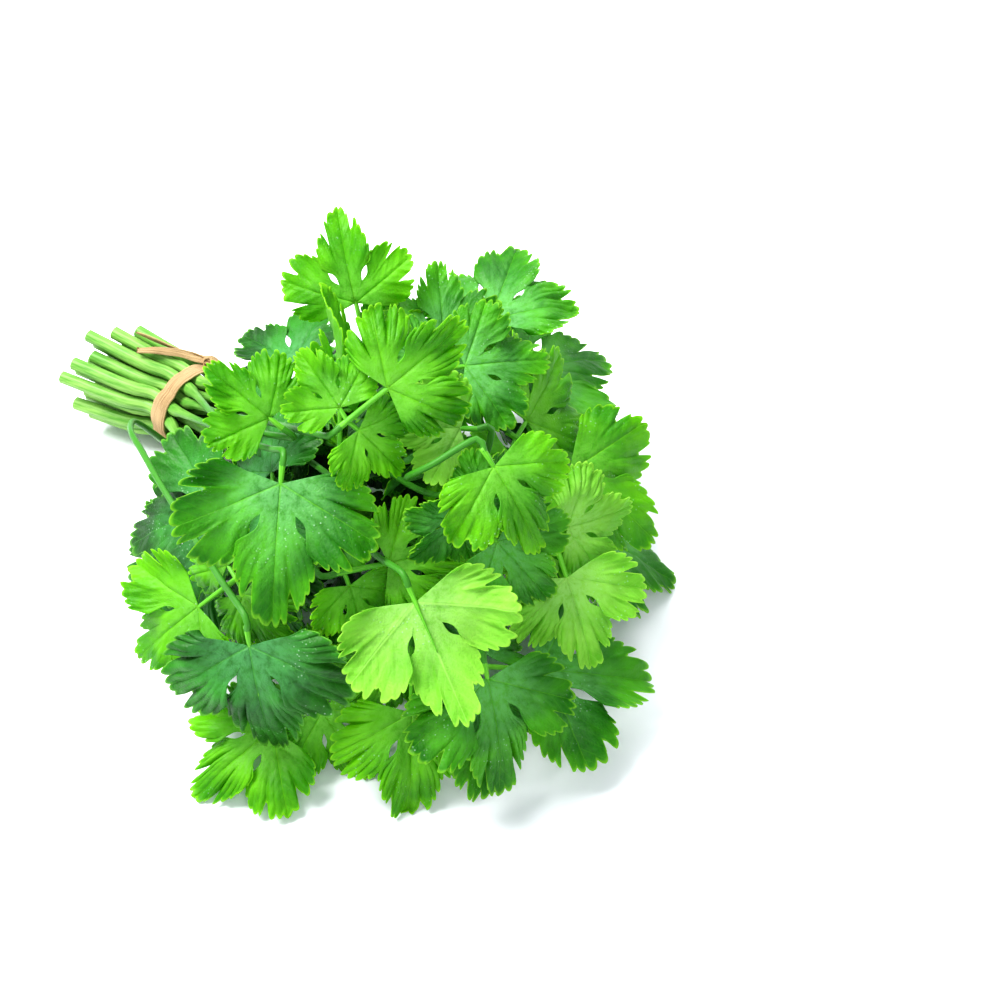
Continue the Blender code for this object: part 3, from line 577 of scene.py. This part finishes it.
def leafMaterial(name, tone, under):
    material = bpy.data.materials.new(name)
    material.use_nodes = True
    tree = material.node_tree
    shader = tree.nodes["Principled BSDF"]
    pattern = addNode(tree, "ShaderNodeGroup", node_tree=leafPattern)
    colours = {key: (*tone[key], 1) for key in ("dark", "light", "vein", "rim", "paintedSheen", "glow")}
    if under:
        for key in ("dark", "light", "vein"):
            colours[key] = (*(np.array(tone[key]) * .7 + np.array((.09, .20, .03)) * .6), 1)
    patch = rangeNode(tree, pattern.outputs["Patches"], .35, .68)
    colour = mixNode(tree, patch, colours["dark"], colours["light"])
    fineShare, mainShare = (.40, .80) if under else (.22, .50)
    # the sheen layer paints a pale sheen over the middle of the blade
    layers = [("Painted Sheen", .70, colours["paintedSheen"]), ("Fine Veins", fineShare, colours["vein"]),
              ("Main Vein", mainShare, colours["vein"]), ("Rim", .7, colours["rim"])]
    if not under:
        # a pale glint painted on the dew dots, standing in for their highlights
        layers.append(("Dew And Painted Glint", .5, (.60, .90, .60, 1)))
    for label, most, over in layers:
        colour = mixNode(tree, mathNode(tree, "MULTIPLY", pattern.outputs[label], most), colour, over)
    tree.links.new(colour, shader.inputs["Base Color"])
    dryRoughness, wetRoughness = tone["roughness"] + (.12 if under else 0), .15
    rough = rangeNode(tree, pattern.outputs["Dew And Painted Glint"], 0.0, 1.0, dryRoughness, wetRoughness)
    tree.links.new(rough, shader.inputs["Roughness"])
    shader.inputs["Specular IOR Level"].default_value = .18 if under else .28
    bump = addNode(tree, "ShaderNodeBump",
                   {"Strength": .45, "Distance": .0005, "Height": pattern.outputs["Height"]}, invert=under)
    tree.links.new(bump.outputs[0], shader.inputs["Normal"])
    glow = mixNode(tree, .6, colour, colours["glow"])
    through = addNode(tree, "ShaderNodeBsdfTranslucent", {"Color": glow})
    mix = addNode(tree, "ShaderNodeMixShader",
                  {0: tone["through"], 1: shader.outputs[0], 2: through.outputs[0]})
    tree.links.new(mix.outputs[0], tree.nodes["Material Output"].inputs[0])
    return material


leafMaterials = {
    name: (leafMaterial(f"{name}Leaf", tone, False), leafMaterial(f"{name}LeafUnderside", tone, True))
    for name, tone in leafTones.items()
}


def plainPattern(name, base, other, scale, stretch, roughness, bumpHeight, far=None):
    material = bpy.data.materials.new(name)
    material.use_nodes = True
    tree = material.node_tree
    shader = tree.nodes["Principled BSDF"]
    shader.inputs["Specular IOR Level"].default_value = .3
    uv = addNode(tree, "ShaderNodeUVMap", uv_map="lobeMap").outputs[0]
    mapped = addNode(tree, "ShaderNodeMapping", {0: uv, 3: stretch}).outputs[0]
    grain = addNode(tree, "ShaderNodeTexNoise",
                    {"Vector": mapped, "Scale": scale, "Detail": 4.0, "Roughness": .6})
    objectMap = addNode(tree, "ShaderNodeTexCoord").outputs["Object"]
    broad = addNode(tree, "ShaderNodeTexNoise", {"Vector": objectMap, "Scale": 60.0, "Detail": 2.0})
    broadShare = mathNode(tree, "MULTIPLY", broad.outputs[0], .35)
    both = mathNode(tree, "MULTIPLY_ADD", grain.outputs[0], .65, broadShare)
    colour = mixNode(tree, rangeNode(tree, both, .36, .64), (*base, 1), (*other, 1))
    if far:
        reach = addNode(tree, "ShaderNodeSeparateXYZ", {0: uv}).outputs[1]
        colour = mixNode(tree, rangeNode(tree, reach, .7, 2.0), colour, (*far, 1))
    tree.links.new(colour, shader.inputs["Base Color"])
    rough = rangeNode(tree, grain.outputs[0], .3, .7, roughness - .08, roughness + .08)
    tree.links.new(rough, shader.inputs["Roughness"])
    bump = addNode(tree, "ShaderNodeBump",
                   {"Strength": .6, "Distance": bumpHeight, "Height": grain.outputs[0]})
    tree.links.new(bump.outputs[0], shader.inputs["Normal"])
    return material


stemMaterial = plainPattern("freshStem", (.08, .26, .03), (.25, .47, .10), 6.0, (3, .6, 1), .46, .0002,
                            far=(.04, .20, .012))
leafStalkMaterial = plainPattern("leafStalk", (.05, .28, .008), (.16, .50, .03), 6.0, (3, .6, 1), .42, .0002)
cutMaterial = plainPattern("cutStemEnd", (.24, .42, .10), (.50, .64, .26), 9.0, (1, 1, 1), .5, .0002)
raffiaMaterial = plainPattern("raffiaStrip", (.22, .12, .045), (.60, .43, .23), 9.0, (7, .35, 1), .80, .0005)
print("materials made")


# leaves, counted from 0; the ones packed closest to a neighbour curl and twist this share as much as the
# others, and the rims of two of them droop further, by a share of a leaflet's length
calmLeaves = {3: .35, 9: .5, 13: .15, 16: .3, 17: .4, 18: .5, 19: .3, 20: .4, 21: .4, 22: .5,
              25: .3, 26: .3, 28: .5}
droopLeaves = {3: -.05, 13: -.11}


def shapeOf(index, side):
    chance = np.random.default_rng(100 * index + side + 7)
    calm = calmLeaves.get(index, 1.0)
    return {
        "reach": {-1: chance.uniform(.93, 1.04), 0: chance.uniform(.97, 1.03), 1: chance.uniform(.93, 1.04)},
        "toothShift": {k: chance.uniform(0, 1) for k in (-1, 0, 1)},
        "wave": chance.uniform(0, 6.28),
        "cutShift": chance.uniform(-3, 3),
        "cutDepth": chance.uniform(.7, 1.25),
        "cup": {-1: chance.uniform(-.16, .30), 0: chance.uniform(-.10, .32), 1: chance.uniform(-.16, .30)},
        "over": chance.choice((-1.0, 1.0)),
        "ripple": chance.uniform(.7, 1.7),
        "curl": {k: calm * chance.uniform(-.16, .07) + droopLeaves.get(index, 0) for k in (-1, 0, 1)},
        "twist": {k: calm * chance.uniform(-.34, .34) for k in (-1, 0, 1)},
    }


def liftFromSurface(points, lowest=.45):
    height = points[:, 2] - lowest
    points[:, 2] = lowest + np.where(height > 4, height, np.log1p(np.exp(np.clip(height, -50, 4) / .6)) * .6)
    return points


def moveMesh(obj, change):
    flat = np.zeros(len(obj.data.vertices) * 3)
    obj.data.vertices.foreach_get("co", flat)
    flat = change(flat.reshape(-1, 3) / mm) * mm
    obj.data.vertices.foreach_set("co", flat.ravel())
    obj.data.update()


def makeLeaf(index, sprig):
    name = f"coriander_leaf_{index + 1:02d}"
    pose = poses[index]
    parts = []
    foot = np.array([0, -leafLayout["forkLength"] - .6, 0])
    for matrix, length, side in leafletFrames(sprig):
        shape = shapeOf(index, side)
        sheet = blade(f"{name}_blade", length, shape)
        moveMesh(sheet, lambda points: liftFromSurface(placed(pose @ matrix, points)))
        applyModifier(sheet, "SOLIDIFY", thickness=leaflet["thickness"] * mm, offset=0, material_offset=1)
        # the stalklet runs on under the blade as its main vein
        under = [(0, t * length, bladeRise(0, t * length, length) - low)
                 for t, low in ((.01, .45), (.07, 1.0), (.16, 1.0), (.28, .85), (.42, .6))]
        start = foot if side == 0 else np.array([0, -.4, -.1])
        line = smoothLine(np.vstack([start, [0, .4 * (side == 0), 0], placed(matrix, np.array(under))]), 1.2)
        reach = np.linspace(0, 1, len(line))
        atBlade = 1 - .42 * length / max(np.linalg.norm(np.diff(line, axis=0), axis=1).sum(), .42 * length)
        radiusAt = (0, atBlade, atBlade + .2 * (1 - atBlade), 1)
        radii = np.interp(reach, radiusAt, (.9 if side == 0 else .65, .6, .42, .14))
        line = liftFromSurface(placed(pose, line), 1.1)
        rib = stalk(f"{name}_stalk", line, radii, 10)
        parts += [sheet, rib]
    for part in parts:
        part.data.materials.clear()
        top, bottom = leafMaterials[sprig["tone"]]
        if part.name.startswith(f"{name}_stalk"):
            part.data.materials.append(leafStalkMaterial)
        else:
            part.data.materials.append(top)
            part.data.materials.append(bottom)
    leaf = joined(name, parts)
    pick(leaf)
    bpy.ops.object.shade_smooth()
    return leaf


leaves = []
for index, sprig in enumerate(sprigs):
    leaf = makeLeaf(index, sprig)
    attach(leaf, "root")
    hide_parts(f"leaf_{index + 1:02d}")
    leaves.append(leaf)
print("leaves made", sum(len(leaf.data.polygons) for leaf in leaves), "faces")


# stems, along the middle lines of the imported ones, which have six sides
solidSides = 6


def stemRings(node):
    places = np.array([v.co for v in node.data.vertices]) / mm
    kept, index = np.unique(np.round(places, 3), axis=0, return_inverse=True)
    index = index.reshape(-1)
    beside = [set() for _ in kept]
    for polygon in node.data.polygons:
        corner = [index[v] for v in polygon.vertices]
        for a in corner:
            beside[a].update(corner)
    start = np.argmax(kept[:, 1])
    ring = list(np.argsort(np.linalg.norm(kept - kept[start], axis=1))[:solidSides])
    seen, rings = set(), []
    while ring:
        rings.append(kept[ring])
        seen.update(ring)
        ring = sorted({n for a in ring for n in beside[a]} - seen)
    return rings


stemLook = {"around": 20, "ribs": 7, "ribDepth": .045, "step": 2.2, "fullness": 1.06}


def makeStem(index):
    name = f"coriander_stem_{index + 1:02d}"
    rings = stemRings(nodes[f"stem_{index + 1:02d}"])
    middles = np.array([ring.mean(0) for ring in rings])
    widths = np.array([np.linalg.norm(ring - ring.mean(0), axis=1).mean() for ring in rings])
    end = placed(poses[index], np.array([0, -leafLayout["forkLength"] + .5, 0]))
    middles[-1] = end
    line = smoothLine(middles, stemLook["step"])
    chance = np.random.default_rng(900 + index)
    reachKnown = np.concatenate([[0], np.cumsum(np.linalg.norm(np.diff(middles, axis=0), axis=1))])
    reach = np.concatenate([[0], np.cumsum(np.linalg.norm(np.diff(line, axis=0), axis=1))])
    radii = np.interp(reach / reach[-1], reachKnown / reachKnown[-1], widths) * stemLook["fullness"]
    radii = radii * (1 + .03 * np.sin(reach / 9 + chance.uniform(0, 6)))
    line[:, 2] = np.maximum(line[:, 2], radii * 1.06 + .2)
    stem = stalk(name, line, radii, stemLook["around"], stemLook["ribs"], stemLook["ribDepth"],
                 twist=chance.uniform(-.004, .004))
    return stem, line, radii


stemLines = []
for index in range(len(sprigs)):
    stem, line, radii = makeStem(index)
    stem.data.materials.clear()
    stem.data.materials.append(stemMaterial)
    stem.data.materials.append(cutMaterial)
    ends = [p for p in stem.data.polygons if len(p.vertices) > 6]
    for polygon in ends:
        if np.linalg.norm(np.array(polygon.center) / mm - line[0]) < 3:
            polygon.material_index = 1
    pick(stem)
    bpy.ops.object.shade_smooth_by_angle(angle=math.radians(50))
    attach(stem, "root")
    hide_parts(f"stem_{index + 1:02d}")
    stemLines.append((line, radii))
print("stems made")


# small leaves lower on the stems fill the inside of the bunch; none of them has a solid of its own
innerLeaf = {
    "rim": ((0, 1.0), (12, .97), (22, .88), (30, .66), (33, .48), (36, .66), (46, .88), (60, .93), (78, .84),
            (92, .66), (104, .42)),
    "halfAngle": 104, "lobeAngle": 66,
    "teeth": 15, "toothDepth": .10, "columns": 60, "rows": 5, "shapes": 4,
    "perStem": 70, "from": .40, "to": 1.0, "length": (10, 20), "stand": (0, 10),
    "keepIn": 3.0, "clear": 22, "offTie": 26, "depth": .86,
    # the inner tone is painted shade: its near-black green stands in for the shade inside the bunch
    "tones": (("inner", .45), ("green", .35), ("bright", .20)),
}


def innerSheet(name, seed):
    chance = np.random.default_rng(seed)
    wave, curl, cup = chance.uniform(0, 6.28), chance.uniform(-.30, .10), chance.uniform(-.1, .35)
    rimAngles, rimReaches = np.array(innerLeaf["rim"]).T

    def rule(x, y):
        angle, share = innerLeaf["halfAngle"] * x, .03 + .97 * (y + 1) / 2
        tooth = np.abs(np.sin(np.pi * innerLeaf["teeth"] * (x + 1) / 2 + wave)) ** .6
        reach = np.interp(np.abs(angle), rimAngles, rimReaches) - innerLeaf["toothDepth"] * (1 - tooth)
        radius = share * reach
        across, along = np.sin(np.radians(angle)) * radius, np.cos(np.radians(angle)) * radius
        lobeAngle = innerLeaf["lobeAngle"]
        vein = np.radians(lobeAngle * np.clip(np.rint(angle / lobeAngle), -1, 1))
        veinSide = across * np.cos(vein) - along * np.sin(vein)
        veinAlong = across * np.sin(vein) + along * np.cos(vein)
        rise = cup * np.abs(veinSide) + curl * radius ** 2 + .05 * np.sin(angle / 8 + wave) * radius
        maps = {
            "lobeMap": np.stack([veinSide + .5, veinAlong], 1),
            "rimMap": np.stack([(x + 1) / 2, share], 1),
        }
        return np.stack([across, along, rise], 1), maps

    sheet = bentGrid(name, innerLeaf["columns"], innerLeaf["rows"], rule)
    applyModifier(sheet, "SOLIDIFY", thickness=.012 * mm, offset=0, material_offset=1)
    return sheet


def makeInnerLeaves():
    sheets = [innerSheet(f"innerShape{k}", 300 + k) for k in range(innerLeaf["shapes"])]
    low, high = (np.array(c) / mm for c in cadBox)
    corners, faces = [], []
    for index in range(len(sprigs)):
        mesh = nodes[f"leaf_{index + 1:02d}"].data
        faces += [[len(corners) + v for v in polygon.vertices] for polygon in mesh.polygons]
        corners += [v.co / mm for v in mesh.vertices]
    bigLeaves = BVHTree.FromPolygons(corners, faces)
    taken = [bigLeaves]
    toneNames, toneShares = zip(*innerLeaf["tones"])
    found = {tone: [] for tone in toneNames}
    middle = np.mean([line[int(len(line) * .6)] for line, _ in stemLines], axis=0)
    cornerWay = unit(np.array(corners) - middle)
    cornerReach = np.linalg.norm(np.array(corners) - middle, axis=1)
    chance = np.random.default_rng(77)
    for line, _ in stemLines:
        for k in range(innerLeaf["perStem"]):
            share = (k + chance.uniform(.1, .9)) / innerLeaf["perStem"]
            share = innerLeaf["from"] + (innerLeaf["to"] - innerLeaf["from"]) * share
            at = int(share * (len(line) - 2))
            along = unit(line[at + 1] - line[at])
            out = unit(line[at] - middle + chance.normal(size=3) * 12)
            out = unit(out - along * out.dot(along))
            spread = math.radians(chance.uniform(15, 80))
            forward = along * math.cos(spread) + out * math.sin(spread)
            start = line[at] + forward * chance.uniform(*innerLeaf["stand"])
            matrix = frameOf(start, forward, out + .55 * chance.normal(size=3) + (-.2, -.3, .5))
            matrix[:3, :3] *= chance.uniform(*innerLeaf["length"])
            sheet = sheets[int(chance.integers(len(sheets)))]
            tone = toneNames[int(chance.choice(len(toneNames), p=toneShares))]
            tips = placed(matrix, np.array([[0, 1, 0], [.8, .3, 0], [-.8, .3, 0], [0, .4, 0]]))
            if (tips < low + innerLeaf["keepIn"]).any() or (tips > high - innerLeaf["keepIn"]).any():
                continue
            if tips[:, 1].max() > tieAt[1] - innerLeaf["offTie"]:
                continue
            # it stays well within the big leaves that lie the same way from the middle
            reaches = np.linalg.norm(tips - middle, axis=1)
            beyond = [np.median(cornerReach[np.argsort(cornerWay @ way)[-40:]])
                      for way in unit(tips - middle)]
            if (reaches > innerLeaf["depth"] * np.array(beyond)).any():
                continue
            # one that would lie over a big leaf is left out
            inward = unit(middle - tips)
            if any(bigLeaves.ray_cast(Vector(p), Vector(way), innerLeaf["clear"])[0]
                   for p, way in zip(tips, inward)):
                continue
            copy = sheet.copy()
            copy.data = sheet.data.copy()
            bpy.context.scene.collection.objects.link(copy)
            moveMesh(copy, lambda points: liftFromSurface(placed(matrix, points)))
            tree = BVHTree.FromPolygons([v.co / mm for v in copy.data.vertices],
                                        [p.vertices for p in copy.data.polygons])
            if any(other.overlap(tree) for other in taken):
                bpy.data.objects.remove(copy)
                continue
            taken.append(tree)
            copy.data.materials.clear()
            for material in leafMaterials[tone]:
                copy.data.materials.append(material)
            way = smoothLine([line[at], start + forward], 3.0)
            thread = stalk("innerStalk", way, np.full(len(way), .45), 6)
            thread.data.materials.clear()
            thread.data.materials.append(leafStalkMaterial)
            found[tone] += [copy, thread]
    for sheet in sheets:
        bpy.data.objects.remove(sheet)
    for tone, parts in found.items():
        piece = joined(f"inner_leaves_{tone}", parts)
        pick(piece)
        bpy.ops.object.shade_smooth()
        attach(piece, "root")
        print("inner leaves,", tone, len(parts) // 2)


makeInnerLeaves()


# the raffia tie: a strip that goes round the stems twice, a knot, and two loose ends
tie = {
    "width": 4.0, "thickness": .45, "lift": .35, "knotAt": 48,
    "turns": ((0, 0, .0), (-2.7, 4, .28)),
    "knotSize": (3.0, 1.75), "loopWidth": 3.0, "loopLeans": (24, -38),
    "tails": ((24, 21.0, 40), (44, 15.0, -55)),
    "tailWidth": 3.2,
}


# how far the stems reach out from the middle of the bunch, this far along from the tie
def bundleReach(degrees, along):
    places, widths = [], []
    for line, radii in stemLines:
        order = np.argsort(line[:, 1])
        y = np.clip(tieAt[1] + along, line[:, 1].min(), line[:, 1].max())
        places.append([np.interp(y, line[order, 1], line[order, k]) for k in (0, 2)])
        widths.append(np.interp(y, line[order, 1], radii[order]))
    places, widths = np.array(places), np.array(widths)
    middle = (places.max(0) + places.min(0)) / 2
    way = np.array([math.cos(math.radians(degrees)), math.sin(math.radians(degrees))])
    reach = ((places - middle) @ way + widths).max() + .1
    return middle, way, reach


def bundlePlace(degrees, along, lift):
    middle, way, reach = bundleReach(degrees, along)
    across = middle + way * (reach + lift)
    return np.array([across[0], tieAt[1] + along, across[1]]), np.array([way[0], 0, way[1]])


def strip(name, middles, outs, widths, seed, ragged=0.0):
    middles, outs, widths = (np.asarray(v, float) for v in (middles, outs, widths))
    along = unit(np.gradient(middles, axis=0))
    asides = unit(np.cross(along, outs))
    outs = np.cross(asides, along)
    reach = np.concatenate([[0], np.cumsum(np.linalg.norm(np.diff(middles, axis=0), axis=1))])
    chance = np.random.default_rng(seed)
    phases = chance.uniform(0, 6.28, 4)

    def rule(x, y):
        k = np.rint((y + 1) / 2 * (len(middles) - 1)).astype(int)
        far = reach[k]
        bumps = .07 * np.cos(13 * x + phases[0] + .25 * np.sin(far / 3)) + .05 * np.cos(23 * x + phases[1])
        crease = .22 * np.sin(2.2 * x + phases[2] + far / 7) * np.sin(far / 5 + phases[3])
        edge = 1 + .05 * np.sin(far / 1.7 + phases[1] + 2 * x)
        fray = ragged * np.sin(17 * x + phases[2]) * (k == len(middles) - 1)
        place = middles[k] + asides[k] * (x * widths[k] / 2 * edge)[:, None]
        place = place + outs[k] * (bumps + crease - .12 * x * x)[:, None] + along[k] * fray[:, None]
        maps = {
            "lobeMap": np.stack([(x + 1) / 2, far / 40], 1),
            "rimMap": np.stack([(x + 1) / 2, far * 0], 1),
        }
        return place, maps

    sheet = bentGrid(name, 16, len(middles) - 1, rule)
    inEditMode(sheet, lambda: bpy.ops.mesh.remove_doubles(threshold=.000002))
    applyModifier(sheet, "SOLIDIFY", thickness=tie["thickness"] * mm, offset=0)
    applyModifier(sheet, "BEVEL", width=.00012, segments=2, limit_method="ANGLE")
    return sheet


def makeTie():
    parts = []
    for number, (shift, tilt, lift) in enumerate(tie["turns"]):
        steps = np.linspace(0, 1, 90)
        degrees = tie["knotAt"] + 360 * steps
        slope = tilt * .35 * np.cos(np.radians(degrees - tie["knotAt"]))
        sway = shift + slope + .3 * np.sin(np.radians(3 * degrees))
        found = [bundlePlace(d, y, tie["lift"] + lift) for d, y in zip(degrees, sway)]
        widths = tie["width"] * (1 - .12 * number) * (1 + .07 * np.sin(np.radians(degrees * 2 + 40)))
        middles, outs = [f[0] for f in found], [f[1] for f in found]
        parts.append(strip(f"tieTurn{number}", middles, outs, widths, 40 + number))
    centre, out = bundlePlace(tie["knotAt"], 0, tie["lift"] + tie["knotSize"][1] * .75)
    ahead = np.array([0, 1.0, 0])
    beside = np.cross(ahead, out)
    for number, lean in enumerate(tie["loopLeans"]):
        turned = math.radians(lean)
        way = ahead * math.cos(turned) + beside * math.sin(turned)
        angles = np.radians(np.linspace(-100, 280, 44))
        longer, shorter = tie["knotSize"][0] * (1 - .16 * number), tie["knotSize"][1] * (1 + .12 * number)
        middles = [centre + way * math.sin(a) * longer + out * math.cos(a) * shorter for a in angles]
        outs = [way * math.sin(a) * shorter + out * math.cos(a) * longer for a in angles]
        widths = [tie["loopWidth"] - .3 * number] * len(angles)
        parts.append(strip(f"knotLoop{number}", middles, outs, widths, 60 + number))
    for number, (turned, reach, twist) in enumerate(tie["tails"]):
        middles, outs, widths = [], [], []
        for t in np.linspace(0, 1, 40):
            lift = 1.9 * (1 - t) + .4 + 1.5 * t * t
            place, out = bundlePlace(tie["knotAt"] + turned * t, reach * t, lift)
            angle = math.radians(twist) * math.sin(2.2 * t + number)
            beside = np.cross(ahead, out)
            middles.append(place)
            outs.append(out * math.cos(angle) + beside * math.sin(angle))
            widths.append(tie["tailWidth"] * (1 - .30 * t))
        middles = smoothLine(middles[::3] + [middles[-1]], 1.0)
        share = np.linspace(0, 1, len(middles))
        outs = np.stack([np.interp(share, np.linspace(0, 1, 40), np.array(outs)[:, k]) for k in range(3)], 1)
        widths = np.interp(share, np.linspace(0, 1, 40), widths)
        parts.append(strip(f"looseEnd{number}", middles, outs, widths, 80 + number, ragged=.5))
    for part in parts:
        part.data.materials.clear()
        part.data.materials.append(raffiaMaterial)
    obj = joined("raffia_strip", parts)
    pick(obj)
    bpy.ops.object.shade_smooth_by_angle(angle=math.radians(50))
    return obj


raffia = makeTie()
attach(raffia, "root")
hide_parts("raffia_tie")
print("tie made")


# floor, light and camera
floorMaterial = bpy.data.materials.new("paleFloor")
floorMaterial.use_nodes = True
floorTree = floorMaterial.node_tree
floorPlaces = addNode(floorTree, "ShaderNodeTexCoord").outputs["Object"]
floorNoise = addNode(floorTree, "ShaderNodeTexNoise", {"Vector": floorPlaces, "Scale": 2.0, "Detail": 2.0})
floorColour = mixNode(floorTree, floorNoise.outputs[0], (.86, .88, .92, 1), (.90, .915, .94, 1))
floorTree.links.new(floorColour, floorTree.nodes["Principled BSDF"].inputs["Base Color"])
floorTree.nodes["Principled BSDF"].inputs["Roughness"].default_value = .6
deselectAll()
bpy.ops.mesh.primitive_plane_add(size=6, location=(0, 0, -.0002))
floor = bpy.context.object
floor.name = "floor"
floor.data.materials.append(floorMaterial)

studio = {
    "sky": (.90, .96, 1.0), "skyStrength": .53,
    "lamps": (((-.35, .55, 1.25), .8, 37), ((.95, .35, .9), .9, 8), ((-.5, -.8, 1.0), .9, 6)),
}
bpy.context.scene.view_settings.view_transform = "Standard"
bpy.context.scene.view_settings.look = "Medium High Contrast"
world = bpy.data.worlds.new("studio")
bpy.context.scene.world = world
world.use_nodes = True
setInputs(world.node_tree.nodes["Background"],
          {"Color": (*studio["sky"], 1), "Strength": studio["skyStrength"]})
for place, size, power in studio["lamps"]:
    light = bpy.data.lights.new("softbox", "AREA")
    light.shape, light.size, light.energy = "DISK", size, power
    lamp = bpy.data.objects.new("softbox", light)
    lamp.location = place
    lamp.rotation_mode = "QUATERNION"
    lamp.rotation_quaternion = (Vector((0, 0, .05)) - Vector(place)).to_track_quat("-Z", "Y")
    bpy.context.scene.collection.objects.link(lamp)

# the camera looks along away, from a place given in mm from the tie
shot = {
    "right": (.7071, -.7071, 0), "up": (.5171, .5171, .6820), "away": (.4822, .4822, -.7314),
    "fromTie": (-220.30, -360.52, 411.47), "lens": 64, "sensorWidth": 36,
}
cameraData = bpy.data.cameras.new("camera")
cameraData.lens, cameraData.sensor_width = shot["lens"], shot["sensorWidth"]
camera = bpy.data.objects.new("camera", cameraData)
view = np.eye(4)
view[:3, 0], view[:3, 1], view[:3, 2] = shot["right"], shot["up"], -np.array(shot["away"])
view[:3, 3] = (tieAt + np.array(shot["fromTie"])) * mm
camera.matrix_world = Matrix(view.tolist())
bpy.context.scene.collection.objects.link(camera)
bpy.context.scene.camera = camera
